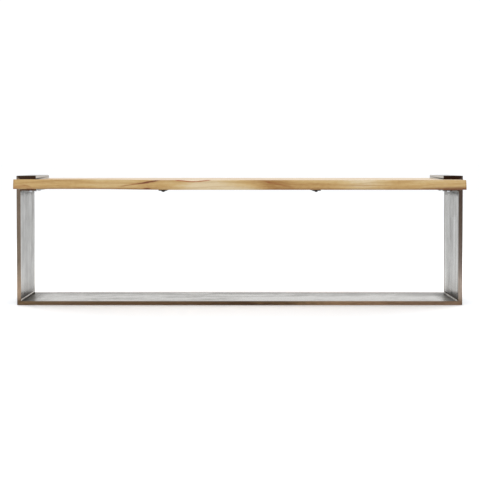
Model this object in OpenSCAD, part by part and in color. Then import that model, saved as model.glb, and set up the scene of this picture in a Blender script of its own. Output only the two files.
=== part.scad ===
// Entryway bench: a solid wood slab held by a welded loop of steel flat bar.
// X runs along the bench, Y from front (-) to back (+), Z up.
// The origin is on the floor, under the middle of the bench.

/* [Frame] */
// Overall length of the steel frame
frame_len = 1524; // [1000:1:1800]
// Overall height of the steel frame
frame_h = 443; // [380:0.5:520]
// Width of the flat bar, front to back
plate_w = 203.2; // [150:0.1:260]
// Thickness of the floor, leg and top plates
plate_t = 12.7; // [10:0.1:16]
// Reach of the top and seat plates from the frame's outer face
plate_reach = 66; // [50:0.5:110]
// Thickness of the seat plates under the slab
seat_plate_t = 6.35; // [5:0.05:8]

/* [Seat slab] */
// Depth of the slab at its widest, front to back
slab_d = 406; // [300:1:460]
// Thickness of the slab
slab_t = 32; // [28:0.5:50]
// Gap between each end of the slab and the leg beside it
slab_end_gap = 1.5; // [0.5:0.5:6]
// How far each long edge leans in from bottom to top
slab_edge_lean = 5; // [0:0.5:15]
// Chamfer along the slab's long edges
slab_chamfer = 2; // [0.5:0.5:4]

/* [Welds] */
// Leg length of the fillet welds inside the bottom corners
floor_weld = 7; // [4:0.5:9]
// Leg length of the fillet welds under the seat plates
seat_weld = 5; // [3:0.5:7]
// Width of the outside groove welds on each face
groove_w = 6; // [4:0.5:7]
// Depth of the outside groove welds, along each plate
groove_d = 4.5; // [3:0.5:5]
// Radius of the ground outside corners
corner_r = 2.5; // [1:0.5:3]

/* [Cleats] */
// Distance from the bench's middle to each cleat
cleat_x = 262; // [150:1:350]
// Length of a cleat, front to back
cleat_len = 256; // [180:1:280]
// Width of a cleat
cleat_w = 28; // [24:1:40]
// Thickness of a cleat
cleat_t = 6; // [3:0.5:8]
// Distance from a cleat's end to its outer bolt
bolt_inset = 38; // [25:1:50]

/* [Fasteners] */
// Nominal diameter of the cleat bolts
bolt_d = 8; // [6:1:8]
// Diameter of the threaded inserts
insert_d = 12; // [10:0.5:14]
// Length of the threaded inserts
insert_len = 13; // [10:1:15]
// Diameter of the seat screws
screw_d = 6; // [5:0.5:6]
// Depth of the seat screws in the slab
screw_bite = 20; // [15:1:22]
// Distance between the outer seat screws, front to back
screw_span = 130; // [80:1:140]
// Extra length of the slots that let the slab swell and shrink
slot_travel = 10; // [4:1:12]

/* [Hidden] */

$fn = 48;
LEFT = -1;
RIGHT = 1;
HEX = 6;
eps = 1;

// Frame levels and faces
outer_x = frame_len / 2;
inner_x = outer_x - plate_t;
reach_x = outer_x - plate_reach;
under_top_z = frame_h - plate_t;
slab_z = under_top_z - slab_t;
under_seat_z = slab_z - seat_plate_t;
slab_len = 2 * (inner_x - slab_end_gap);

// Fillet welds stop this far short of the plates' edges
weld_end = 3;
// Flatness of a weld's face: the arc's centre lies this many leg lengths behind the corner
weld_bulge = 1.2;

// Washers and clearance holes
washer_t = 1.2;
washer_play = 0.4;
clearance = 1.5;
cleat_washer_d = 16;
seat_washer_t = 1.5;
seat_washer_d = 18;

// Button heads
button_d = 14;
button_h = 4.2;
socket_af = 5;
socket_h = 2.6;
bolt_shank = 20;
insert_hole_depth = 18;

// Hex heads
hex_af = 10;
hex_h = 4;
screw_tip = 4;
screw_core = 1.5;

// Places
seat_screw_x = (inner_x + reach_x) / 2;
cleat_under_z = slab_z - cleat_t;
cleat_bolt_y = cleat_len / 2 - bolt_inset;
cleat_ys = [-cleat_bolt_y, 0, cleat_bolt_y];
screw_ys = [-screw_span / 2, 0, screw_span / 2];

// Across-flats size of a hexagon to the diameter of its corners
function corners(across_flats) = across_flats / cos(180 / HEX);

// Extrudes an outline in X and Z along Y, centred on Y = 0
module along_y(width) {
    rotate([90, 0, 0]) linear_extrude(width, center = true) children();
}

// Puts a piece drawn for the right-hand side on the given side
module on_side(side) {
    mirror([side == LEFT ? 1 : 0, 0, 0]) children();
}

// A slot with round ends that runs along Y
module slot_2d(d, travel) {
    square([d, travel], center = true);
    for (y = [-travel / 2, travel / 2])
        translate([0, y]) circle(d = d);
}

// Holes at a row of Y positions: the middle one is round, the others are slots
module expansion_holes(ys, d) {
    for (y = ys)
        translate([0, y])
            if (y == 0) circle(d = d);
            else slot_2d(d, slot_travel);
}

// A flat washer that stands on Z = 0
module washer(outer_d, hole_d, thickness) {
    linear_extrude(thickness)
        difference() {
            circle(d = outer_d);
            circle(d = hole_d);
        }
}

// The section of a fillet weld, with its root at the origin
module fillet_2d(leg) {
    back = weld_bulge * leg;
    intersection() {
        square(leg + eps);
        translate([-back, -back]) circle(r = norm([leg + back, back]));
    }
}

// The section of an outside corner weld: its sharp corner is the origin, the plates lie at +X and +Y
module groove_2d() {
    difference() {
        polygon([[0, 0], [groove_w, 0], [groove_d, groove_d], [0, groove_w]]);
        difference() {
            translate([-eps, -eps]) square(corner_r + eps);
            translate([corner_r, corner_r]) circle(r = corner_r);
        }
    }
}

// Outline of the slab's end, in Y and Z
module slab_end_2d() {
    foot = slab_d / 2;
    head = foot - slab_edge_lean;
    polygon([
        [-foot + slab_chamfer, 0], [foot - slab_chamfer, 0], [foot, slab_chamfer],
        [head, slab_t - slab_chamfer], [head - slab_chamfer, slab_t],
        [-head + slab_chamfer, slab_t], [-head, slab_t - slab_chamfer], [-foot, slab_chamfer]
    ]);
}

// Wood slab, with blind holes in its underside for the inserts and screws
module seat_slab() {
    color("burlywood")
        difference() {
            translate([0, 0, slab_z])
                rotate([90, 0, 90])
                    linear_extrude(slab_len, center = true) slab_end_2d();
            for (side = [LEFT, RIGHT]) {
                for (y = cleat_ys)
                    translate([side * cleat_x, y, slab_z - eps])
                        cylinder(h = insert_hole_depth + eps, d = insert_d);
                for (y = screw_ys)
                    translate([side * seat_screw_x, y, slab_z - eps])
                        cylinder(h = screw_bite + eps, d = screw_d);
            }
        }
}

// Full-length plate on the floor, mitred and grooved at both ends
module floor_plate() {
    color("darkgray")
        along_y(plate_w)
            polygon([
                [-outer_x + groove_w, 0], [outer_x - groove_w, 0], [outer_x - groove_d, groove_d],
                [inner_x, plate_t], [-inner_x, plate_t], [-outer_x + groove_d, groove_d]
            ]);
}

// Upright plate, mitred and grooved at both ends
module leg_plate(side) {
    color("gray")
        on_side(side)
            along_y(plate_w)
                polygon([
                    [outer_x, groove_w], [outer_x, frame_h - groove_w],
                    [outer_x - groove_d, frame_h - groove_d], [inner_x, under_top_z],
                    [inner_x, plate_t], [outer_x - groove_d, groove_d]
                ]);
}

// Short plate turned in over the slab
module top_plate(side) {
    color("dimgray")
        on_side(side)
            along_y(plate_w)
                polygon([
                    [reach_x, under_top_z], [inner_x, under_top_z],
                    [outer_x - groove_d, frame_h - groove_d],
                    [outer_x - groove_w, frame_h], [reach_x, frame_h]
                ]);
}

// Thin plate under the slab, with screw slots
module seat_plate(side) {
    color("dimgray")
        on_side(side)
            translate([0, 0, under_seat_z])
                linear_extrude(seat_plate_t)
                    difference() {
                        translate([reach_x, -plate_w / 2]) square([inner_x - reach_x, plate_w]);
                        translate([seat_screw_x, 0])
                            expansion_holes(screw_ys, screw_d + clearance);
                    }
}

// Fillet bead between the floor plate and a leg
module floor_weld(side) {
    color("silver")
        on_side(side)
            along_y(plate_w - 2 * weld_end)
                translate([inner_x, plate_t]) mirror([1, 0]) fillet_2d(floor_weld);
}

// Fillet bead between a seat plate and a leg
module seat_weld(side) {
    color("silver")
        on_side(side)
            along_y(plate_w - 2 * weld_end)
                translate([inner_x, under_seat_z]) mirror([1, 0]) mirror([0, 1]) fillet_2d(seat_weld);
}

// Ground weld along the outside of a bottom corner
module corner_weld_floor(side) {
    color("slategray")
        on_side(side)
            along_y(plate_w)
                translate([outer_x, 0]) mirror([1, 0]) groove_2d();
}

// Ground weld along the outside of a top corner
module corner_weld_top(side) {
    color("slategray")
        on_side(side)
            along_y(plate_w)
                translate([outer_x, frame_h]) mirror([1, 0]) mirror([0, 1]) groove_2d();
}

// Flat bar across the underside, with round ends and expansion slots
module cleat(side) {
    straight = cleat_len - cleat_w;
    color("black")
        translate([side * cleat_x, 0, cleat_under_z])
            linear_extrude(cleat_t)
                difference() {
                    slot_2d(cleat_w, straight);
                    expansion_holes(cleat_ys, bolt_d + clearance);
                }
}

// Button-head bolt with its head's seat at Z = 0 and its shank up
module button_bolt() {
    dome_r = (pow(button_d / 2, 2) + pow(button_h, 2)) / (2 * button_h);
    cylinder(h = bolt_shank, d = bolt_d);
    difference() {
        intersection() {
            translate([0, 0, dome_r - button_h]) sphere(r = dome_r);
            translate([0, 0, -button_h]) cylinder(h = button_h, d = button_d);
        }
        translate([0, 0, -button_h - eps])
            cylinder(h = socket_h + eps, d = corners(socket_af), $fn = HEX);
    }
}

// Hex-head wood screw with its head's seat at Z = 0 and its point up
module hex_screw() {
    shank = seat_washer_t + seat_plate_t + screw_bite;
    translate([0, 0, -hex_h]) cylinder(h = hex_h, d = corners(hex_af), $fn = HEX);
    cylinder(h = shank - screw_tip, d = screw_d);
    translate([0, 0, shank - screw_tip]) cylinder(h = screw_tip, d1 = screw_d, d2 = screw_core);
}

// Copies a piece to every cleat bolt position, on both sides
module at_cleat_bolts() {
    for (side = [LEFT, RIGHT], y = cleat_ys)
        translate([side * cleat_x, y, 0]) children();
}

// Copies a piece to every seat screw position, on both sides
module at_seat_screws() {
    for (side = [LEFT, RIGHT], y = screw_ys)
        translate([side * seat_screw_x, y, 0]) children();
}

module cleat_bolts() {
    color("black")
        at_cleat_bolts() translate([0, 0, cleat_under_z - washer_t]) button_bolt();
}

module cleat_washers() {
    color("black")
        at_cleat_bolts() translate([0, 0, cleat_under_z - washer_t])
            washer(cleat_washer_d, bolt_d + washer_play, washer_t);
}

// Threaded inserts, flush with the slab's underside
module cleat_inserts() {
    color("gold")
        at_cleat_bolts() translate([0, 0, slab_z]) washer(insert_d, bolt_d, insert_len);
}

module seat_screws() {
    color("silver")
        at_seat_screws() translate([0, 0, under_seat_z - seat_washer_t]) hex_screw();
}

module seat_washers() {
    color("silver")
        at_seat_screws() translate([0, 0, under_seat_z - seat_washer_t])
            washer(seat_washer_d, screw_d + washer_play, seat_washer_t);
}

seat_slab();
floor_plate();
leg_plate(LEFT);  // leg_plate_left
leg_plate(RIGHT);  // leg_plate_right
top_plate(LEFT);  // top_plate_left
top_plate(RIGHT);  // top_plate_right
seat_plate(LEFT);  // seat_plate_left
seat_plate(RIGHT);  // seat_plate_right
floor_weld(LEFT);  // floor_weld_left
floor_weld(RIGHT);  // floor_weld_right
seat_weld(LEFT);  // seat_weld_left
seat_weld(RIGHT);  // seat_weld_right
corner_weld_floor(LEFT);  // corner_weld_floor_left
corner_weld_floor(RIGHT);  // corner_weld_floor_right
corner_weld_top(LEFT);  // corner_weld_top_left
corner_weld_top(RIGHT);  // corner_weld_top_right
cleat(LEFT);  // cleat_left
cleat(RIGHT);  // cleat_right
cleat_bolts();
cleat_washers();
cleat_inserts();
seat_screws();
seat_washers();
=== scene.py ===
"""Looks of the entryway bench: a solid wood slab held by a welded loop of raw steel flat bar.

Everything is in metres, in the row frame: X runs along the bench, -Y is its front and Z is up.
"""

import math

import bpy
import numpy as np
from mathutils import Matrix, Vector


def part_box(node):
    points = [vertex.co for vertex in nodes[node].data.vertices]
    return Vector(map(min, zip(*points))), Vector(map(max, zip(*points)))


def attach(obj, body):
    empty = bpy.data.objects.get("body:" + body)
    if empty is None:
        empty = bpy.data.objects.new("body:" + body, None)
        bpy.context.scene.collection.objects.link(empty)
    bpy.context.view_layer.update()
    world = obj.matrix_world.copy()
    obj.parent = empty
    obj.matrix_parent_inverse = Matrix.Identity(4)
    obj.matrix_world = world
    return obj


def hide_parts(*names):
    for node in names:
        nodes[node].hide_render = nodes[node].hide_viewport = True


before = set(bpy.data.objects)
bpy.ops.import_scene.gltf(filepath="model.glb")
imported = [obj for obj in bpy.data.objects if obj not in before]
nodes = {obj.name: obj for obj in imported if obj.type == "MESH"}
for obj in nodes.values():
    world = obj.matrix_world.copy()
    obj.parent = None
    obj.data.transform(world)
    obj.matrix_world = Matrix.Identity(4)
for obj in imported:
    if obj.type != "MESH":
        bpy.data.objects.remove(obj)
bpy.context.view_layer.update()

SIDES = ("left", "right")
MM = 0.001

slab_low, slab_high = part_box("seat_slab")
floor_low, floor_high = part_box("floor_plate")
top_low, top_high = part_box("top_plate_right")
leg_low, leg_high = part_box("leg_plate_right")

PLATE_T = floor_high.z - floor_low.z
PLATE_FRONT = floor_low.y
OUTER_X = leg_high.x
INNER_X = leg_low.x
REACH_X = top_low.x
UNDER_SEAT_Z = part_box("seat_plate_right")[0].z


# ---------------------------------------------------------------- camera, floor and light

CAMERA_PLACE = (-0.0156, -2.972, 0.4882)
CAMERA_PITCH = 1.2
LENS_MM = 63.08
SENSOR_MM = 36
SHIFT = (0.0102, -0.1248)

FLOOR_SIZE = 400
FLOOR_GAP = 0.2 * MM
FLOOR_COLOR = (0.93, 0.945, 0.965, 1)
WORLD_COLOR = (1, 1, 1, 1)
WORLD_STRENGTH = 1.08

# Soft boxes: name, place, the point they face, width, depth and watts
SOFT_BOXES = [("front_box", (0, -0.60, 2.6), (0, -0.60, 0), 3.2, 0.8, 14),
              ("back_box", (0, 0.95, 2.6), (0, 0.95, 0), 3.2, 0.7, 16),
              ("left_box", (-2.2, 0.9, 0.7), (-0.85, -0.05, 0), 1.0, 0.6, 11),
              ("right_box", (2.2, 0.9, 0.7), (0.85, -0.05, 0), 1.0, 0.6, 11)]


def make_camera():
    """The camera in front of the bench, a little over the seat."""
    data = bpy.data.cameras.new("camera")
    data.lens = LENS_MM
    data.sensor_width = SENSOR_MM
    data.shift_x, data.shift_y = SHIFT
    data.clip_end = FLOOR_SIZE
    camera = bpy.data.objects.new("camera", data)
    camera.location = CAMERA_PLACE
    camera.rotation_euler = (math.radians(90 - CAMERA_PITCH), 0, 0)
    bpy.context.scene.collection.objects.link(camera)
    bpy.context.scene.camera = camera


def make_floor():
    """A plain pale floor just under the bench."""
    half = FLOOR_SIZE / 2
    mesh = bpy.data.meshes.new("floor")
    corners = [(-half, -half, -FLOOR_GAP), (half, -half, -FLOOR_GAP),
               (half, half, -FLOOR_GAP), (-half, half, -FLOOR_GAP)]
    mesh.from_pydata(corners, [], [(0, 1, 2, 3)])
    material = bpy.data.materials.new("floor")
    material.use_nodes = True
    surface = material.node_tree.nodes["Principled BSDF"]
    surface.inputs["Base Color"].default_value = FLOOR_COLOR
    surface.inputs["Roughness"].default_value = 0.9
    surface.inputs["Specular IOR Level"].default_value = 0.1
    mesh.materials.append(material)
    floor = bpy.data.objects.new("floor", mesh)
    bpy.context.scene.collection.objects.link(floor)


def soft_box(name, place, target, width, depth, watts):
    """A rectangular light at place that faces target."""
    data = bpy.data.lights.new(name, "AREA")
    data.shape = "RECTANGLE"
    data.size = width
    data.size_y = depth
    data.energy = watts
    light = bpy.data.objects.new(name, data)
    light.location = place
    light.rotation_euler = (Vector(target) - Vector(place)).to_track_quat("-Z", "Y").to_euler()
    bpy.context.scene.collection.objects.link(light)


def make_light():
    """Even white surroundings and the soft boxes."""
    scene = bpy.context.scene
    world = bpy.data.worlds.new("studio")
    world.use_nodes = True
    background = world.node_tree.nodes["Background"]
    background.inputs["Color"].default_value = WORLD_COLOR
    background.inputs["Strength"].default_value = WORLD_STRENGTH
    scene.world = world
    scene.view_settings.view_transform = "Standard"
    for box in SOFT_BOXES:
        soft_box(*box)


# ---------------------------------------------------------------- node helper

def srgb(red, green, blue):
    """A colour written as 0 to 255 screen values, as a linear RGBA tuple."""
    parts = []
    for value in (red, green, blue):
        share = value / 255
        parts.append(share / 12.92 if share <= 0.04045 else ((share + 0.055) / 1.055) ** 2.4)
    return (*parts, 1)


class Shader:
    """One material's node tree. Each call adds a node and returns its output."""

    def __init__(self, name):
        self.material = bpy.data.materials.new(name)
        self.material.use_nodes = True
        self.tree = self.material.node_tree
        self.surface = self.tree.nodes["Principled BSDF"]
        self.place = self.node("ShaderNodeTexCoord").outputs["Object"]
        self.normal = self.node("ShaderNodeNewGeometry").outputs["True Normal"]
        self.x, self.y, self.z = self.split(self.place)

    def node(self, kind, **settings):
        made = self.tree.nodes.new(kind)
        for key, value in settings.items():
            setattr(made, key, value)
        return made

    def put(self, socket, value):
        if isinstance(value, bpy.types.NodeSocket):
            self.tree.links.new(value, socket)
        else:
            socket.default_value = value

    def split(self, vector):
        made = self.node("ShaderNodeSeparateXYZ")
        self.put(made.inputs[0], vector)
        return made.outputs[:]

    def join(self, x, y, z):
        made = self.node("ShaderNodeCombineXYZ")
        for socket, value in zip(made.inputs, (x, y, z)):
            self.put(socket, value)
        return made.outputs[0]

    def math(self, operation, *values, clamp=False):
        made = self.node("ShaderNodeMath", operation=operation, use_clamp=clamp)
        for socket, value in zip(made.inputs, values):
            self.put(socket, value)
        return made.outputs[0]

    def total(self, *parts):
        """Weighted sum: each part is (value, weight)."""
        result = 0.0
        for value, weight in parts:
            result = self.math("MULTIPLY_ADD", value, weight, result)
        return result

    def vector(self, operation, a, b):
        made = self.node("ShaderNodeVectorMath", operation=operation)
        self.put(made.inputs[0], a)
        self.put(made.inputs[1], b)
        return made.outputs[0]

    def noise(self, sizes, detail=3.0, roughness=0.5, place=None, distortion=0.0):
        """Noise from 0 to 1 whose grains have the given sizes, in metres, along X, Y and Z."""
        made = self.node("ShaderNodeTexNoise")
        scales = tuple(1 / size for size in sizes)
        self.put(made.inputs["Vector"], self.vector("MULTIPLY", place or self.place, scales))
        made.inputs["Scale"].default_value = 1
        made.inputs["Detail"].default_value = detail
        made.inputs["Roughness"].default_value = roughness
        made.inputs["Distortion"].default_value = distortion
        return made.outputs["Fac"]

    def band(self, value, start, end, low=0.0, high=1.0):
        """A smooth step from low at start to high at end."""
        made = self.node("ShaderNodeMapRange", interpolation_type="SMOOTHSTEP")
        for socket, number in zip(made.inputs, (value, start, end, low, high)):
            self.put(socket, number)
        return made.outputs[0]

    def ramp(self, value, stops):
        """A colour ramp; stops are (position, colour)."""
        made = self.node("ShaderNodeValToRGB")
        ramp = made.color_ramp
        while len(ramp.elements) < len(stops):
            ramp.elements.new(0.5)
        for element, (position, _) in zip(ramp.elements, stops):
            element.position = position
        for element, (_, color) in zip(ramp.elements, stops):
            element.color = color
        self.put(made.inputs[0], value)
        return made.outputs[0]

    def mix(self, share, a, b):
        """Colour a where share is 0 and colour b where it is 1."""
        made = self.node("ShaderNodeMix", data_type="RGBA")
        self.put(made.inputs["Factor"], share)
        sockets = {socket.identifier: socket for socket in made.inputs}
        self.put(sockets["A_Color"], a)
        self.put(sockets["B_Color"], b)
        return next(s for s in made.outputs if s.identifier == "Result_Color")

    def shade(self, color, factor):
        """The colour times a brightness factor."""
        return self.vector("MULTIPLY", color, self.join(factor, factor, factor))

    def blotch(self, center, radii, turn=0.0, soft=0.6, place=None):
        """1 inside an ellipsoid, falling to 0 at its surface. turn is about Y, in degrees."""
        made = self.node("ShaderNodeMapping", vector_type="TEXTURE")
        self.put(made.inputs["Vector"], place or self.place)
        made.inputs["Location"].default_value = center
        made.inputs["Rotation"].default_value = (0, math.radians(turn), 0)
        made.inputs["Scale"].default_value = radii
        length = self.node("ShaderNodeVectorMath", operation="LENGTH")
        self.put(length.inputs[0], made.outputs[0])
        return self.band(length.outputs["Value"], 1, 1 - soft)

    def streak(self, start, end, half_width, half_depth, at_y, place=None):
        """A blotch drawn out from start to end, both (x, z), whose middle lies at the depth at_y."""
        run = end[0] - start[0]
        rise = end[1] - start[1]
        center = ((start[0] + end[0]) / 2, at_y, (start[1] + end[1]) / 2)
        radii = (math.hypot(run, rise) / 2, half_depth, half_width)
        return self.blotch(center, radii, turn=-math.degrees(math.atan2(rise, run)), soft=0.8, place=place)

    def bump(self, *heights):
        """Bump from (height, depth in metres) pairs, one on top of the other."""
        result = None
        for height, depth in heights:
            made = self.node("ShaderNodeBump")
            made.inputs["Distance"].default_value = depth
            made.inputs["Strength"].default_value = 1
            self.put(made.inputs["Height"], height)
            if result is not None:
                self.put(made.inputs["Normal"], result)
            result = made.outputs[0]
        self.put(self.surface.inputs["Normal"], result)

    def cover(self, a, b):
        """Two shares laid over each other: 1 where either is 1."""
        return self.math("MULTIPLY_ADD", b, self.math("SUBTRACT", 1.0, a), a)

    def finish(self, color, roughness, metallic=0.0, specular=0.5, edge_tint=(1, 1, 1, 1), coat=0.0,
               coat_roughness=0.1, coat_ior=1.5):
        self.put(self.surface.inputs["Base Color"], color)
        self.put(self.surface.inputs["Roughness"], roughness)
        self.put(self.surface.inputs["Metallic"], metallic)
        self.surface.inputs["Specular IOR Level"].default_value = specular
        self.surface.inputs["Specular Tint"].default_value = edge_tint
        self.surface.inputs["Coat Weight"].default_value = coat
        self.surface.inputs["Coat Roughness"].default_value = coat_roughness
        self.surface.inputs["Coat IOR"].default_value = coat_ior
        return self.material


# ---------------------------------------------------------------- materials: steel

SOOT = srgb(38, 36, 34)
# The painted highlight beside the bars' edges
RIM_HIGHLIGHT = srgb(186, 186, 184)
STEEL_TONES = [(0.26, srgb(66, 63, 60)), (0.40, srgb(112, 110, 107)), (0.52, srgb(146, 145, 143)),
               (0.70, srgb(186, 186, 185))]

# What bare metal reflects at a low angle
EDGE_TINT = (0.95, 0.945, 0.93, 1)

# Soot beside the floor and seat welds: how far from the weld it is full, and how much its rim wanders
FLOOR_SOOT_CORE = 6 * MM
FLOOR_SOOT_WANDER = 16 * MM
SEAT_SOOT_CORE = 5 * MM
SEAT_SOOT_WANDER = 30 * MM
SEAT_SOOT_REACH = 26 * MM

# The painted shade line on the top plates' sawn ends, where they sit on the slab: its height over the plate's
# underside in front, how much it climbs per metre towards the back, its half-width, and how much of that is
# full
END_LINE_HEIGHT = 1.6 * MM
END_LINE_CLIMB = 0.026
END_LINE_HALF = 3.4 * MM
END_LINE_CORE = 0.8 * MM


def weld_distance(s, level):
    """Distance, in the XZ plane, to the corner where the legs meet a plate face at this height."""
    across = s.math("SUBTRACT", s.math("ABSOLUTE", s.x), INNER_X)
    rise = s.math("SUBTRACT", s.z, level)
    squares = s.math("MULTIPLY_ADD", across, across, s.math("MULTIPLY", rise, rise))
    return s.math("SQRT", squares)


def soot_field(s, floor_soot, soot_reach, seat_soot, spots):
    """How sooty the steel is, 0 to 1: beside the floor weld, beside the seat weld, and in single spots.

    The floor weld's soot is thicker towards the front, where its pass ended. A spot is centre, radii and
    strength.
    """
    wobble = s.noise((0.016, 0.016, 0.010), detail=4, roughness=0.65)
    wobble = s.math("SUBTRACT", wobble, 0.5)
    near_floor = s.math("MULTIPLY_ADD", wobble, FLOOR_SOOT_WANDER, weld_distance(s, PLATE_T))
    near_seat = s.math("MULTIPLY_ADD", wobble, SEAT_SOOT_WANDER, weld_distance(s, UNDER_SEAT_Z))
    beside_floor = s.band(near_floor, soot_reach, FLOOR_SOOT_CORE)
    beside_seat = s.band(near_seat, SEAT_SOOT_REACH, SEAT_SOOT_CORE)
    to_front = s.band(s.y, 0.09, -0.03, 0.3, 1.0)
    darkening = s.math("MULTIPLY", beside_floor, s.math("MULTIPLY", to_front, floor_soot))
    darkening = s.cover(darkening, s.math("MULTIPLY", beside_seat, seat_soot))
    for center, radii, strength in spots:
        spot = s.blotch(center, radii, soft=0.9)
        darkening = s.cover(darkening, s.math("MULTIPLY", spot, strength))
    return darkening


def end_shade_line(s, amount):
    """Painted shade on the top plates' sawn inner ends, where they sit on the slab: a line that climbs from
    front to back, thickest in front.
    """
    on_end = s.band(s.math("ABSOLUTE", s.x), REACH_X + 1.2 * MM, REACH_X + 0.6 * MM)
    depth = s.math("SUBTRACT", s.y, PLATE_FRONT)
    rise = s.math("SUBTRACT", s.z, s.total((depth, END_LINE_CLIMB), (top_low.z + END_LINE_HEIGHT, 1.0)))
    line = s.band(s.math("ABSOLUTE", rise), END_LINE_HALF, END_LINE_CORE)
    to_front = s.band(s.y, -PLATE_FRONT, PLATE_FRONT, 0.25, 1.0)
    return s.math("MULTIPLY", s.math("MULTIPLY", line, on_end), s.math("MULTIPLY", to_front, amount))


def mill_noise(s, along):
    """The rolled bar's noises by name. The long ones are drawn out along its rolling direction."""
    long = "XYZ".index(along)

    def sizes(length, width):
        result = [width, width, width]
        result[long] = length
        return tuple(result)

    return {"streaks": s.noise(sizes(0.15, 0.030), detail=3, roughness=0.6),
            "lines": s.noise(sizes(0.35, 0.0045), detail=2, roughness=0.7),
            "sheets": s.noise(sizes(0.50, 0.055), detail=2),
            "grain": s.noise(sizes(0.020, 0.0032), detail=2, roughness=0.6),
            "clouds": s.noise((0.045, 0.045, 0.045), detail=4, roughness=0.65, distortion=0.8),
            "grit": s.noise((0.0024, 0.0024, 0.0024), detail=2, roughness=0.8)}


def rolled_face(s, mill, rim, wipe, contrast, fade):
    """The grey of the faces: mill streaks, and a painted highlight in a line beside the edges, where the
    arris catches light.
    """
    tone = s.total((mill["streaks"], 0.50), (mill["lines"], 0.18), (mill["sheets"], 0.22),
                   (mill["clouds"], 0.30), (mill["grit"], 0.10), (0.65, -1.0))
    # Darker towards the back of the face, and darker towards its foot as painted shade
    tone = s.total((tone, contrast), (s.band(s.y, 0.10, -0.03, -1.0, 1.0), wipe),
                   (s.band(s.z, 0.05, 0.36, -1.0, 1.0), fade), (0.5, 1.0))
    middle, half_width = rim
    off_rim = s.math("ABSOLUTE", s.math("SUBTRACT", s.math("ABSOLUTE", s.y), middle))
    # A painted highlight in a line beside the edges
    rim_highlight = s.band(off_rim, half_width, 0.2 * half_width)
    rim_highlight = s.math("MULTIPLY", rim_highlight, s.total((mill["clouds"], 0.9), (0.05, 1.0)))
    return s.mix(rim_highlight, s.ramp(tone, STEEL_TONES), RIM_HIGHLIGHT)


def edge_patina_and_shade(s, mill, edge):
    """The brown patina of the cut front and back edges, which changes along them; its stops also paint light
    and shade.
    """
    axis, low, high, stops = edge
    share = s.math("DIVIDE", s.math("SUBTRACT", {"X": s.x, "Z": s.z}[axis], low), high - low)
    share = s.total((share, 1.0), (mill["streaks"], 0.16), (mill["clouds"], 0.08), (0.12, -1.0))
    factor = s.total((mill["lines"], 0.35), (mill["clouds"], 0.5), (mill["grain"], 0.7), (0.225, 1.0))
    return s.shade(s.ramp(share, stops), factor)


def raw_steel(name, along, edge, *, rim=(0.0965, 0.014), wrap=0.009, wipe=0.0, contrast=1.0, fade=0.0,
              rough=0.10, floor_soot=0.6, soot_reach=0.032, seat_soot=0.35, spots=(), end_line=0.0,
              sawn_end=None):
    """Waxed raw flat bar. along is its rolling direction, "X" or "Z".

    edge is the brown of the cut front and back edges, patina with painted light and shade in its stops: an
    axis, its low and high values, and colour stops between them. rim is where a painted highlight runs in a
    line beside the edges, standing for light caught on the arris, as distance from the middle and half-width;
    wrap is how far the patina runs round on to the face. wipe darkens the back of the face, fade darkens its
    foot as painted shade, and contrast drives its streaks. sawn_end is the colour of faces that look along X,
    and its share.
    """
    s = Shader(name)
    mill = mill_noise(s, along)
    facing_x, facing_y = [s.math("ABSOLUTE", part) for part in s.split(s.normal)[:2]]
    wrapped = s.band(s.math("ABSOLUTE", s.y), -PLATE_FRONT - wrap, -PLATE_FRONT - 0.8 * wrap)
    on_edge = s.cover(s.band(facing_y, 0.80, 0.97), wrapped)
    color = s.mix(on_edge, rolled_face(s, mill, rim, wipe, contrast, fade), edge_patina_and_shade(s, mill, edge))
    if sawn_end:
        end_color, share = sawn_end
        color = s.mix(s.math("MULTIPLY", s.band(facing_x, 0.80, 0.97), share), color, end_color)

    darkening = soot_field(s, floor_soot, soot_reach, seat_soot, spots)
    darkening = s.math("MULTIPLY", darkening, s.math("SUBTRACT", 1.0, on_edge))
    # The top plates' sawn ends also take a painted shade line, mixed in like the weld soot
    if end_line:
        darkening = s.cover(darkening, end_shade_line(s, end_line))
    color = s.mix(darkening, color, SOOT)

    roughness = s.total((mill["streaks"], 0.12), (mill["clouds"], 0.12), (on_edge, 0.20), (darkening, 0.25),
                        (rough, 1.0))
    metallic = s.total((darkening, -0.9), (0.92, 1.0))
    s.bump((mill["streaks"], 0.08 * MM), (mill["grit"], 0.04 * MM))
    return s.finish(color, roughness, metallic=metallic, edge_tint=EDGE_TINT, specular=0)


DULL_BEAD = srgb(72, 69, 65)


def floor_bead_metal(name, dark, light, crest):
    """Floor bead. crest is how far round it, from 0 at the plate to 1 at the leg, a painted highlight runs as
    a bright band; elsewhere it is dull weld metal.
    """
    s = Shader(name)
    tint = s.noise((0.02, 0.014, 0.02), detail=3, roughness=0.6)
    grit = s.noise((0.0012, 0.0012, 0.0012), detail=2)
    rise = s.math("SUBTRACT", s.z, PLATE_T)
    across = s.math("SUBTRACT", INNER_X, s.math("ABSOLUTE", s.x))
    turn = s.math("DIVIDE", rise, s.math("ADD", rise, across))
    turn = s.total((tint, 0.2), (turn, 1.0), (0.1, -1.0))
    # A painted highlight: a bright band round the bead at crest
    highlight = s.band(s.math("ABSOLUTE", s.math("SUBTRACT", turn, crest)), 0.40, 0.12)
    color = s.ramp(tint, [(0.36, dark), (0.60, light)])
    color = s.mix(highlight, DULL_BEAD, color)
    s.bump((grit, 0.06 * MM))
    return s.finish(color, s.total((tint, 0.2), (0.20, 1.0)), metallic=s.total((highlight, 0.8), (0.15, 1.0)),
                    specular=0)


def dull_bead_metal(name):
    """Seat bead: dull brown-grey weld metal."""
    s = Shader(name)
    tint = s.noise((0.02, 0.014, 0.02), detail=3, roughness=0.6)
    grit = s.noise((0.0012, 0.0012, 0.0012), detail=2)
    color = s.ramp(tint, [(0.36, srgb(78, 75, 66)), (0.60, srgb(118, 115, 104))])
    s.bump((grit, 0.06 * MM))
    return s.finish(color, s.total((tint, 0.2), (0.25, 1.0)), metallic=0.9)


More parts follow.
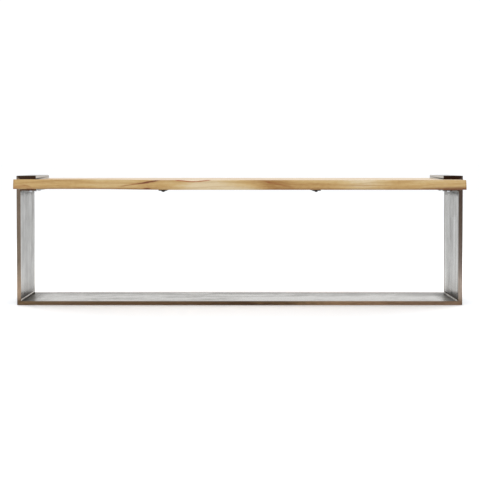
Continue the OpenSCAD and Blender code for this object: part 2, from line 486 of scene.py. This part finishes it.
def ground_weld(name, patina):
    """Weld ground flush with the plates: scratches from the disc, patina where it meets the cut edges."""
    s = Shader(name)
    scratches = s.noise((0.0012, 0.02, 0.0012), detail=3, roughness=0.7)
    clouds = s.noise((0.03, 0.03, 0.03), detail=3)
    tone = s.total((scratches, 0.5), (clouds, 0.5))
    face = s.ramp(tone, [(0.35, srgb(96, 90, 84)), (0.5, srgb(128, 123, 117)), (0.65, srgb(158, 155, 151))])
    edge = s.shade(patina[:3], s.total((tone, 2.0)))
    on_edge = s.band(s.math("ABSOLUTE", s.split(s.normal)[1]), 0.80, 0.97)
    s.bump((scratches, 0.05 * MM))
    roughness = s.total((scratches, 0.25), (0.2, 1.0))
    return s.finish(s.mix(on_edge, face, edge), roughness, metallic=0.9, edge_tint=EDGE_TINT, specular=0)


def black_steel(name):
    """Satin black powder coat with a fine orange-peel surface."""
    s = Shader(name)
    peel = s.noise((0.0016, 0.0016, 0.0016), detail=2)
    dust = s.noise((0.03, 0.03, 0.03), detail=4)
    color = s.ramp(dust, [(0.3, srgb(10, 10, 11)), (0.7, srgb(22, 22, 24))])
    s.bump((peel, 0.05 * MM))
    return s.finish(color, s.total((dust, 0.2), (0.34, 1.0)), specular=0.3)


def black_oxide(name):
    """Black oxide on fasteners: dark metal, worn a little brown."""
    s = Shader(name)
    wear = s.noise((0.004, 0.004, 0.004), detail=4, roughness=0.7)
    color = s.ramp(wear, [(0.35, srgb(8, 8, 9)), (0.62, srgb(20, 19, 18)), (0.75, srgb(66, 60, 54))])
    s.bump((wear, 0.02 * MM))
    return s.finish(color, s.total((wear, 0.2), (0.26, 1.0)), metallic=0.85, specular=0.3)


def zinc(name):
    """Bright zinc plate with faint bluish clouds."""
    s = Shader(name)
    clouds = s.noise((0.006, 0.006, 0.006), detail=3)
    color = s.ramp(clouds, [(0.3, srgb(176, 180, 188)), (0.7, srgb(218, 219, 220))])
    s.bump((clouds, 0.02 * MM))
    return s.finish(color, s.total((clouds, 0.22), (0.18, 1.0)), metallic=1.0)


def plain_brass(name):
    """Plain brass with faint clouds."""
    s = Shader(name)
    clouds = s.noise((0.005, 0.005, 0.005), detail=3)
    color = s.ramp(clouds, [(0.3, srgb(168, 136, 74)), (0.7, srgb(214, 184, 112))])
    s.bump((clouds, 0.02 * MM))
    return s.finish(color, s.total((clouds, 0.2), (0.22, 1.0)), metallic=1.0)


# ---------------------------------------------------------------- materials: the slab

WOOD_TONES = [(0.20, srgb(142, 99, 42)), (0.38, srgb(166, 130, 76)), (0.52, srgb(182, 150, 96)),
              (0.66, srgb(191, 165, 117)), (0.84, srgb(201, 182, 146))]
LATE_BROWN = srgb(136, 90, 36)
FLECK_BROWN = srgb(104, 66, 28)
END_GRAIN_BROWN = srgb(124, 84, 42)
END_ARRIS_BROWN = srgb(112, 60, 14)
LOW_ARRIS_BROWN = srgb(86, 32, 0)
BARK_BROWN = srgb(150, 76, 6)
PALE_BARK = srgb(206, 192, 166)

# The pith: its Y, its depth under the board and how much it drifts along the board
PITH_Y = 0.03
PITH_DEPTH = 0.095
PITH_DRIFT = 0.028

# The rings round it: their width, how much they bend, and the thickness of wood of one tone
RING_WIDTH = 4.2 * MM
RING_BEND = 7 * MM
YEAR_SIZE = 5.5 * MM

# Its broad patches, as X, half-length and lighter (+) or darker (-). They fade downwards from the top, and
# the low ones upwards from the underside
PATCHES = [(-0.110, 0.160, 0.42), (0.115, 0.105, -0.26), (0.408, 0.122, 0.28), (-0.440, 0.140, 0.16),
           (0.610, 0.100, 0.05)]
LOW_PATCHES = [(0.010, 0.110, 0.30), (-0.470, 0.120, -0.16)]
PATCH_REACH = 90 * MM
LOW_PATCH_REACH = 26 * MM
PATCH_DEPTH = 70 * MM

# Brown streaks that reach the front edge. Start and end are X and height over the underside in mm, then
# half-width in mm, strength and colour
DARK_BROWN = srgb(104, 44, 4)
RED_BROWN = srgb(126, 62, 16)
SOFT_BROWN = srgb(136, 86, 34)
STREAKS = [((-408, 8.8), (-346, 18), 2.0, 0.65, SOFT_BROWN),
           ((-372, 14.8), (-316, 22.8), 2.0, 0.60, RED_BROWN),
           ((-352, 17.4), (-270, 29.4), 2.6, 1.00, DARK_BROWN),
           ((-322, 23.8), (-256, 32.4), 2.4, 1.00, DARK_BROWN),
           ((-415, 2.0), (-392, 4.0), 2.0, 0.40, RED_BROWN),
           ((-324, 3.4), (-288, 4.2), 2.0, 0.95, DARK_BROWN),
           ((72, 29), (122, 20), 2.8, 0.75, SOFT_BROWN),
           ((82, 26.5), (106, 23.5), 2.2, 0.70, RED_BROWN),
           ((96, 23.0), (160, 12), 3.0, 0.70, SOFT_BROWN),
           ((130, 18), (190, 4), 4.0, 0.45, SOFT_BROWN),
           ((-728, 18.0), (-680, 8.0), 3.2, 0.60, SOFT_BROWN),
           ((-712, 4.2), (-672, 3.0), 2.6, 0.55, RED_BROWN),
           ((-750, 6), (-728, 1), 4.0, 0.60, RED_BROWN),
           ((-758, 11.5), (-694, 11), 4.0, 0.40, RED_BROWN),
           ((262, 12.5), (565, 15.0), 2.4, 0.42, SOFT_BROWN)]
STREAK_DEPTH = 26 * MM

# Y of the streaks' middles, and how far up or down the grain carries a mark
MARK_Y = slab_low.y + 2 * MM
MARK_SWAY = 4 * MM

# The waney dip in the front top edge: middle, half-length and depth
WANE_X = -0.155
WANE_HALF = 0.063
WANE_DEPTH = 4.2 * MM

# The front left corner curls up: where the curl starts and ends along X, and how far it goes. Elsewhere the
# overhangs hang by the cup
CURL_START = -0.22
CURL_END = -0.52
CURL = 2.8 * MM
CUP = 0.3 * MM

# The darker brown band along the lower front arris: its height and how much it rises at the right end; its
# strength, and what the right end, the left end and a clear stretch add; that stretch's middle and
# half-length
LOW_ARRIS_HEIGHT = 7.5 * MM
LOW_ARRIS_RISE = 8 * MM
LOW_ARRIS_STRENGTH = 0.52
LOW_ARRIS_AT_RIGHT = 0.34
LOW_ARRIS_AT_LEFT = -0.25
LOW_ARRIS_IN_CLEAR = -0.42
CLEAR_X = -0.09
CLEAR_HALF = 0.24


def wane_mark(s, color, height, near_front):
    """The waney dip: pale bark-side wood over a dark line."""
    off_middle = s.math("ABSOLUTE", s.math("SUBTRACT", s.x, WANE_X))
    dip = s.band(off_middle, WANE_HALF, 0)
    line = s.total((dip, -WANE_DEPTH), (slab_high.z - slab_low.z - 1.2 * MM, 1.0))
    off_line = s.math("SUBTRACT", height, line)
    inside = s.math("MULTIPLY", near_front, s.band(off_middle, WANE_HALF, 0.8 * WANE_HALF))
    above = s.math("MULTIPLY", s.band(off_line, 0.4 * MM, 1.4 * MM), inside)
    bark = s.math("MULTIPLY", s.band(s.math("ABSOLUTE", off_line), 2.2 * MM, 0.7 * MM), inside)
    color = s.mix(s.math("MULTIPLY", above, 0.6), color, PALE_BARK)
    return s.mix(bark, color, BARK_BROWN)


def low_arris_darkening(s, height):
    """How strong the darker band along the lower front arris is. height is over the CAD board's underside."""
    height = s.total((height, 1.0), (s.band(s.x, CURL_START, CURL_END), -CURL), (CUP, 1.0))
    to_right = s.band(s.x, 0.53, 0.72)
    to_left = s.band(s.x, -0.62, -0.70)
    clear = s.blotch((CLEAR_X, MARK_Y, slab_low.z), (CLEAR_HALF, 0.1, 0.03), soft=0.8)
    reach = s.total((to_right, LOW_ARRIS_RISE), (LOW_ARRIS_HEIGHT, 1.0))
    strength = s.total((to_right, LOW_ARRIS_AT_RIGHT), (to_left, LOW_ARRIS_AT_LEFT), (clear, LOW_ARRIS_IN_CLEAR),
                       (LOW_ARRIS_STRENGTH, 1.0))
    return s.math("MULTIPLY", s.band(s.math("DIVIDE", height, reach), 1.0, 0.1), strength)


def slab_marks(s, color, fibres):
    """Brown streaks, the waney dip, the darker band along the lower arris and the darker ends."""
    sway = s.math("SUBTRACT", s.noise((0.03, 0.02, 0.006), detail=3), 0.5)
    warped = s.vector("ADD", s.place, s.join(0.0, 0.0, s.math("MULTIPLY", sway, MARK_SWAY)))
    for start, end, half_width, strength, brown in STREAKS:
        ends = [(x * MM, slab_low.z + z * MM) for x, z in (start, end)]
        mark = s.streak(*ends, 1.5 * half_width * MM, STREAK_DEPTH, MARK_Y, place=warped)
        mark = s.math("MULTIPLY", mark, s.total((fibres, 0.7), (0.70, 1.0)), clamp=True)
        color = s.mix(s.math("MULTIPLY", mark, strength), color, brown)

    near_front = s.band(s.y, MARK_Y + 20 * MM, MARK_Y + 6 * MM)
    height = s.math("SUBTRACT", s.split(warped)[2], slab_low.z)
    color = wane_mark(s, color, height, near_front)
    color = s.mix(s.math("MULTIPLY", low_arris_darkening(s, height), near_front), color, LOW_ARRIS_BROWN)
    at_end = s.band(s.math("ABSOLUTE", s.x), slab_high.x - 7 * MM, slab_high.x - 1 * MM, 0.0, 0.3)
    return s.mix(at_end, color, END_ARRIS_BROWN)


def growth_rings(s):
    """How far into the dark late wood of its ring a point is, 0 to 1, and the tone of its years."""
    drift = s.noise((0.50, 20, 20), detail=1)
    bend = s.noise((0.30, 0.10, 0.10), detail=2, roughness=0.45)
    pith_z = s.total((drift, PITH_DRIFT), (slab_low.z - PITH_DEPTH, 1.0))
    dy = s.math("SUBTRACT", s.y, PITH_Y)
    dz = s.math("SUBTRACT", s.z, pith_z)
    radius = s.math("SQRT", s.math("MULTIPLY_ADD", dy, dy, s.math("MULTIPLY", dz, dz)))
    radius = s.total((radius, 1.0), (bend, RING_BEND))
    phase = s.math("FRACT", s.math("DIVIDE", radius, RING_WIDTH))
    late = s.math("MULTIPLY", s.band(phase, 0.45, 0.94), s.band(phase, 1.0, 0.95))
    year = s.noise((YEAR_SIZE,) * 3, detail=1, place=s.join(radius, 0.0, 0.0))
    return late, year


def wood_tone(s, year, off_edge):
    """Where the clean wood is light or dark: years, grain, mottle, a slope from top to bottom and patches."""
    patches = s.noise((0.16, 0.10, 0.03), detail=2)
    grain = s.noise((0.08, 0.0032, 0.0032), detail=3, roughness=0.6)
    mottle = s.noise((0.014, 0.010, 0.006), detail=3, roughness=0.6)
    ring_tone = s.math("MULTIPLY", s.math("SUBTRACT", year, 0.5), off_edge)
    slope = s.band(s.z, slab_low.z, slab_high.z, -1.0, 1.0)
    tone = s.total((year, 0.40), (patches, 0.30), (grain, 0.36), (mottle, 0.26), (ring_tone, 0.9),
                   (-0.16, 1.0), (slope, s.band(s.x, 0.0, 0.20, 0.01, 0.08)))
    for level, reach, group in ((slab_high.z, PATCH_REACH, PATCHES),
                                (slab_low.z, LOW_PATCH_REACH, LOW_PATCHES)):
        for x, half, amount in group:
            patch = s.blotch((x, slab_low.y, level), (half, PATCH_DEPTH, reach), soft=1.0)
            tone = s.math("MULTIPLY_ADD", patch, amount, tone)
    return tone


def slab_wood(name):
    """Pale maple: growth rings round a pith that runs below the board, fibres, flecks and brown marks."""
    s = Shader(name)
    late, year = growth_rings(s)
    fibres = s.noise((0.04, 0.0011, 0.0011), detail=3, roughness=0.65)
    facing_x, facing_y = [s.math("ABSOLUTE", part) for part in s.split(s.normal)[:2]]

    # The rings stand out more on the top, the underside and the ends than on the long edges
    off_edge = s.band(facing_y, 0.70, 0.40)
    ring_share = s.math("MULTIPLY", late, s.total((off_edge, 0.26), (0.22, 1.0)))
    color = s.mix(ring_share, s.ramp(wood_tone(s, year, off_edge), WOOD_TONES), LATE_BROWN)
    color = s.shade(color, s.total((fibres, 0.20), (0.90, 1.0)))
    color = slab_marks(s, color, fibres)

    # Fibre flecks and pores
    flecks = s.band(s.noise((0.014, 0.0007, 0.0007), detail=1), 0.66, 0.74)
    color = s.mix(s.math("MULTIPLY", flecks, 0.22), color, FLECK_BROWN)

    # End grain is darker
    on_end = s.band(facing_x, 0.7, 0.95)
    color = s.mix(s.math("MULTIPLY", on_end, 0.35), color, END_GRAIN_BROWN)

    roughness = s.total((fibres, 0.12), (late, -0.05), (0.45, 1.0))
    s.bump((fibres, 0.08 * MM), (late, 0.04 * MM))
    return s.finish(color, roughness, specular=0.15, coat=1.0, coat_roughness=0.38, coat_ior=1.35)


# ---------------------------------------------------------------- meshes

def new_piece(name, vertices, faces, material, slot, *replaced):
    """A smooth mesh piece that rides on the root body and stands for the named CAD nodes."""
    mesh = bpy.data.meshes.new(name)
    mesh.from_pydata([tuple(v) for v in vertices], [], faces)
    mesh.validate()
    mesh.update()
    mesh.shade_smooth()
    mesh.materials.append(material)
    piece = bpy.data.objects.new(name, mesh)
    bpy.context.scene.collection.objects.link(piece)
    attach(piece, "root")
    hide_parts(*replaced)
    return piece


def loft(rings):
    """Vertices and faces of a closed solid through rings of points, with flat ends."""
    count = len(rings[0])
    vertices = np.concatenate(rings)
    faces = []
    for i in range(len(rings) - 1):
        for j in range(count):
            k = (j + 1) % count
            faces.append((i * count + j, i * count + k, (i + 1) * count + k, (i + 1) * count + j))
    last = (len(rings) - 1) * count
    faces.append(tuple(range(count - 1, -1, -1)))
    faces.append(tuple(range(last, last + count)))
    return vertices, faces


def wander(x, waves, shift):
    """A smooth wandering line: waves are (height, length, phase), and shift moves every phase."""
    return sum(height * np.sin(2 * math.pi * x / length + phase + shift) for height, length, phase in waves)


def smooth_share(share):
    """A smooth step from 0 to 1."""
    share = np.clip(share, 0, 1)
    return share * share * (3 - 2 * share)


def bump_at(x, center, half_width):
    """1 at the centre, falling smoothly to 0 at half_width away."""
    return smooth_share(1 - abs(x - center) / half_width)


# The slab's section: a flat top and bottom, leaning long edges and rounded arrises
ARRIS_STEPS = 5
EDGE_STEPS = 8
FLAT_STEPS = 24
END_STEPS = 4
SLAB_STEP = 3 * MM
END_ROUND = 1.0 * MM
LOW_ROUND = 1.2 * MM
HIGH_ROUND = 1.0 * MM

# The top arris is worn rounder here: middle, half-length and how much rounder
WORN_X = 0.1
WORN_HALF = 0.8
WORN_ROUND = 0.5 * MM

# The long edges: how far their foot stays inside the box, how far they lean in and bulge, and how the foot
# and the lean wander, as (height, length, phase). The back edge's waves are shifted
FOOT_INSET = 1.1 * MM
EDGE_LEAN = 4.6 * MM
EDGE_BELLY = 0.7 * MM
FOOT_WAVES = [(0.7 * MM, 0.61, 1), (0.35 * MM, 0.17, 4)]
LEAN_WAVES = [(0.8 * MM, 0.83, 3), (0.4 * MM, 0.23, 2)]
BACK_SHIFT = 2


def arc(steps):
    """Sine and cosine at even steps from 0 to 90 degrees."""
    return [(math.sin(math.pi / 2 * k / steps), math.cos(math.pi / 2 * k / steps)) for k in range(steps + 1)]


def lift(x, y):
    """How far the slab's overhang stands off its true plane: it curls up at the front left corner."""
    along = smooth_share((x - CURL_START) / (CURL_END - CURL_START))
    across = np.clip((PLATE_FRONT - y) / (PLATE_FRONT - slab_low.y), 0, 1)
    return (CURL * along - CUP) * across ** 1.5


def edge_profile(side, x):
    """Points (outward reach, height) up one long edge of the slab at x, from its underside to its top."""
    thickness = slab_high.z - slab_low.z
    shift = 0 if side < 0 else BACK_SHIFT
    foot = slab_high.y - FOOT_INSET - wander(x, FOOT_WAVES, shift)
    head = foot - EDGE_LEAN - wander(x, LEAN_WAVES, shift)
    high_round = HIGH_ROUND + WORN_ROUND * bump_at(x, WORN_X, WORN_HALF)
    if side < 0:
        high_round += WANE_DEPTH * bump_at(x, WANE_X, WANE_HALF)
    points = [(foot - LOW_ROUND * (1 - sin), LOW_ROUND * (1 - cos)) for sin, cos in arc(ARRIS_STEPS)]
    for k in range(1, EDGE_STEPS):
        share = k / EDGE_STEPS
        belly = EDGE_BELLY * math.sin(math.pi * share)
        height = LOW_ROUND + (thickness - LOW_ROUND - high_round) * share
        points.append((foot + (head - foot) * share + belly, height))
    points += [(head - high_round * (1 - cos), thickness - high_round * (1 - sin))
               for sin, cos in arc(ARRIS_STEPS)]
    return points


def slab_section(x):
    """The slab's outline at x, in Y and Z, starting at the front underside and going up the front edge."""
    front = [(-y, z) for y, z in edge_profile(-1, x)]
    back = [(y, z) for y, z in reversed(edge_profile(1, x))]
    top = [(y, front[-1][1]) for y in np.linspace(front[-1][0], back[0][0], FLAT_STEPS + 1)[1:-1]]
    under = [(y, 0) for y in np.linspace(back[-1][0], front[0][0], FLAT_STEPS + 1)[1:-1]]
    section = np.array(front + top + back + under)
    section[:, 1] += lift(x, section[:, 0])
    return section


def inset(section, amount):
    """The section with every point moved inwards along its normal."""
    along = np.roll(section, -1, axis=0) - np.roll(section, 1, axis=0)
    along /= np.linalg.norm(along, axis=1, keepdims=True)
    return section + amount * np.stack([along[:, 1], -along[:, 0]], axis=1)


def make_slab(material):
    """The wood board, lofted along X through its sections, with rounded ends."""
    end = slab_high.x
    rounding = [(end - END_ROUND * (1 - cos), END_ROUND * (1 - sin)) for sin, cos in arc(END_STEPS)]
    straight_end = end - END_ROUND
    count = round(2 * straight_end / SLAB_STEP)
    middle = [(x, 0) for x in np.linspace(-straight_end, straight_end, count + 1)[1:-1]]
    stations = [(-x, shrink) for x, shrink in rounding] + middle + rounding[::-1]
    rings = []
    for x, shrink in stations:
        section = inset(slab_section(x), shrink)
        rings.append(np.column_stack([np.full(len(section), x), section[:, 0], section[:, 1] + slab_low.z]))
    vertices, faces = loft(rings)
    new_piece("slab", vertices, faces, material, "slab_wood", "seat_slab")


# Fillet beads: steps along and round them, how far they crown, and their ripples' pitch, height and lag
BEAD_STEP = 0.5 * MM
BEAD_ARC = 10
BEAD_CROWN = 0.14
BEAD_PITCH = 2.6 * MM
BEAD_RIPPLE = 0.055
BEAD_LAG = 1.1 * MM

# A bead rounds off over this length at its ends, and starts thin over this length at the back
BEAD_END = 4 * MM
BEAD_START = 22 * MM


def bead_size(y, low_y, high_y, side):
    """A bead's size at y as a share of its full size. It wavers a little along its length."""
    from_end = min(y - low_y, high_y - y)
    size = 1 + 0.04 * math.sin(y / (9 * MM)) + 0.03 * math.sin(y / (3.7 * MM) + side)
    size *= 0.55 + 0.45 * min(1, from_end / BEAD_END) ** 0.5
    return size * (0.3 + 0.7 * float(smooth_share((high_y - y) / BEAD_START)))


def bead_ring(root_x, root_z, y, size, side, up):
    """A bead's section at y: its root, and an arc of points from the plate to the leg."""
    ring = [(root_x, y, root_z)]
    for k in range(BEAD_ARC + 1):
        share = k / BEAD_ARC
        crown = math.sin(math.pi * share)
        ripple = 0.5 + 0.5 * math.cos(2 * math.pi * (y + crown * BEAD_LAG) / BEAD_PITCH)
        swell = crown * (BEAD_CROWN + BEAD_RIPPLE * ripple)
        across = size * (1 - share + swell)
        rise = size * (share + swell)
        ring.append((root_x - side * across, y, root_z + up * rise))
    if side * up < 0:
        ring = ring[:1] + ring[:0:-1]
    return np.array(ring)


def make_bead(name, node, up, fullness, material):
    """A rippled fillet bead in the corner where node lies. up is 1 over a plate and -1 under one.

    fullness is its size as a share of the node's.
    """
    low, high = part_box(node)
    side = 1 if high.x > 0 else -1
    root_x = high.x if side > 0 else low.x
    root_z = low.z if up > 0 else high.z
    full_size = fullness * (high.z - low.z)
    count = round((high.y - low.y) / BEAD_STEP)
    rings = []
    for y in np.linspace(low.y, high.y, count + 1):
        size = full_size * bead_size(y, low.y, high.y, side)
        rings.append(bead_ring(root_x, root_z, y, size, side, up))
    vertices, faces = loft(rings)
    new_piece(name, vertices, faces, material, "weld_metal", node)


# ---------------------------------------------------------------- carried-over CAD nodes

BAR_ARRIS = 0.4 * MM
CLEAT_ARRIS = 0.5 * MM
WELD_REACH = 0.01 * MM
CRISP_ANGLE = 35


def dress(name, material, bevel=0.0):
    """Gives a CAD node its material and, where it has crisp edges, a small rounded bevel."""
    node = nodes[name]
    node.data.materials.clear()
    node.data.materials.append(material)
    if bevel:
        weld = node.modifiers.new("weld", "WELD")
        weld.merge_threshold = WELD_REACH
        edge = node.modifiers.new("bevel", "BEVEL")
        edge.width = bevel
        edge.segments = 3
        edge.limit_method = "ANGLE"
        edge.angle_limit = math.radians(CRISP_ANGLE)
        edge.harden_normals = True


# ---------------------------------------------------------------- build

make_camera()
make_floor()
make_light()

# The patina along the cut edges: share of the way along, and colour. The legs' stops also hold painted light
# and shade: lighter a little above the foot, where light from the floor reaches them, and darker up towards
# the seat, whose shade falls on them
LEFT_LEG_EDGE = [(0.0, srgb(98, 79, 62)), (0.035, srgb(102, 84, 67)), (0.06, srgb(146, 126, 107)),
                 (0.10, srgb(154, 133, 112)), (0.20, srgb(148, 128, 108)), (0.28, srgb(132, 116, 100)),
                 (0.37, srgb(116, 102, 88)), (0.52, srgb(112, 99, 85)), (0.70, srgb(112, 98, 85))]
RIGHT_LEG_EDGE = [(0.0, srgb(108, 88, 72)), (0.035, srgb(112, 92, 76)), (0.06, srgb(150, 136, 124)),
                  (0.15, srgb(154, 140, 129)), (0.20, srgb(150, 137, 126)), (0.28, srgb(124, 111, 102)),
                  (0.37, srgb(108, 97, 89)), (0.52, srgb(94, 82, 74)), (0.72, srgb(82, 71, 62)),
                  (0.90, srgb(76, 64, 57))]
LEG_HEIGHTS = (0, 0.40)
FLOOR_EDGE = [(0.0, srgb(110, 91, 69)), (0.09, srgb(112, 91, 71)), (0.18, srgb(104, 83, 62)),
              (0.38, srgb(103, 81, 61)), (0.47, srgb(90, 70, 51)), (0.54, srgb(84, 65, 48)),
              (0.62, srgb(112, 92, 68)), (0.70, srgb(140, 114, 88)), (0.80, srgb(138, 112, 88)),
              (0.86, srgb(126, 102, 81)), (1.0, srgb(122, 101, 83))]
# The top plates' front edges are painted nearly black: painted shade over their patina
TOP_EDGE = [(0.2, srgb(68, 52, 42)), (0.8, srgb(48, 31, 22))]
SEAT_EDGE = [(0.2, srgb(88, 65, 49)), (0.8, srgb(79, 52, 31))]

# Spots of soot high on the legs: centre, radii and strength
LEFT_SPOTS = [((-INNER_X, -0.061, 0.3865), (0.006, 0.012, 0.0035), 0.4),
              ((-INNER_X, 0.004, 0.3815), (0.006, 0.030, 0.0032), 0.25)]
RIGHT_SPOTS = [((INNER_X, 0.036, 0.3855), (0.006, 0.018, 0.0035), 0.35),
               ((INNER_X, -0.030, 0.3820), (0.006, 0.042, 0.0040), 0.35),
               ((INNER_X, -0.078, 0.3815), (0.006, 0.014, 0.0060), 0.5)]

floor_steel = raw_steel("floor_steel", "X", ("X", -OUTER_X, OUTER_X, FLOOR_EDGE), wipe=0.13, contrast=1.8,
                        soot_reach=0.065)
# The top plates carry the painted shade line on their sawn ends
top_steel = raw_steel("top_steel", "X", ("X", -OUTER_X, OUTER_X, TOP_EDGE), rough=0.28, end_line=0.95,
                      sawn_end=(srgb(206, 205, 203), 0.8))
seat_steel = raw_steel("seat_steel", "X", ("X", -OUTER_X, OUTER_X, SEAT_EDGE), sawn_end=(SOOT, 0.45))
leg_steel = {
    "left": raw_steel("left_leg_steel", "Z", ("Z", *LEG_HEIGHTS, LEFT_LEG_EDGE), spots=LEFT_SPOTS,
                      wrap=0.005, fade=0.05),
    "right": raw_steel("right_leg_steel", "Z", ("Z", *LEG_HEIGHTS, RIGHT_LEG_EDGE), spots=RIGHT_SPOTS,
                       rim=(0.0745, 0.010), floor_soot=0.7, seat_soot=0.5, fade=0.05)}

# Welds and small parts
corner_weld = {"floor": ground_weld("floor_corner_weld", srgb(98, 80, 63)),
               "top": ground_weld("top_corner_weld", srgb(88, 76, 66))}
# The two beads are one weld metal; their painted highlights are brighter and higher round the left one than
# the right
bead_metal = {"left": floor_bead_metal("left_bead_metal", srgb(196, 191, 185), srgb(240, 238, 236), 0.85),
              "right": floor_bead_metal("right_bead_metal", srgb(112, 109, 104), srgb(164, 162, 158), 0.30)}
dull_metal = dull_bead_metal("dull_bead_metal")
cleat_black = black_steel("cleat_black")
bolt_black = black_oxide("bolt_black")
screw_zinc = zinc("screw_zinc")

dress("floor_plate", floor_steel, BAR_ARRIS)
for side_name in SIDES:
    dress(f"leg_plate_{side_name}", leg_steel[side_name], BAR_ARRIS)
    dress(f"top_plate_{side_name}", top_steel, BAR_ARRIS)
    dress(f"seat_plate_{side_name}", seat_steel, BAR_ARRIS)
    for level in corner_weld:
        dress(f"corner_weld_{level}_{side_name}", corner_weld[level])
    dress(f"cleat_{side_name}", cleat_black, CLEAT_ARRIS)
    make_bead(f"floor_bead_{side_name}", f"floor_weld_{side_name}", 1, 0.95, bead_metal[side_name])
    make_bead(f"seat_bead_{side_name}", f"seat_weld_{side_name}", -1, 0.85, dull_metal)
dress("cleat_bolts", bolt_black)
dress("cleat_washers", bolt_black)
dress("cleat_inserts", plain_brass("insert_brass"))
dress("seat_screws", screw_zinc)
dress("seat_washers", screw_zinc)
make_slab(slab_wood("maple"))

bpy.context.view_layer.update()
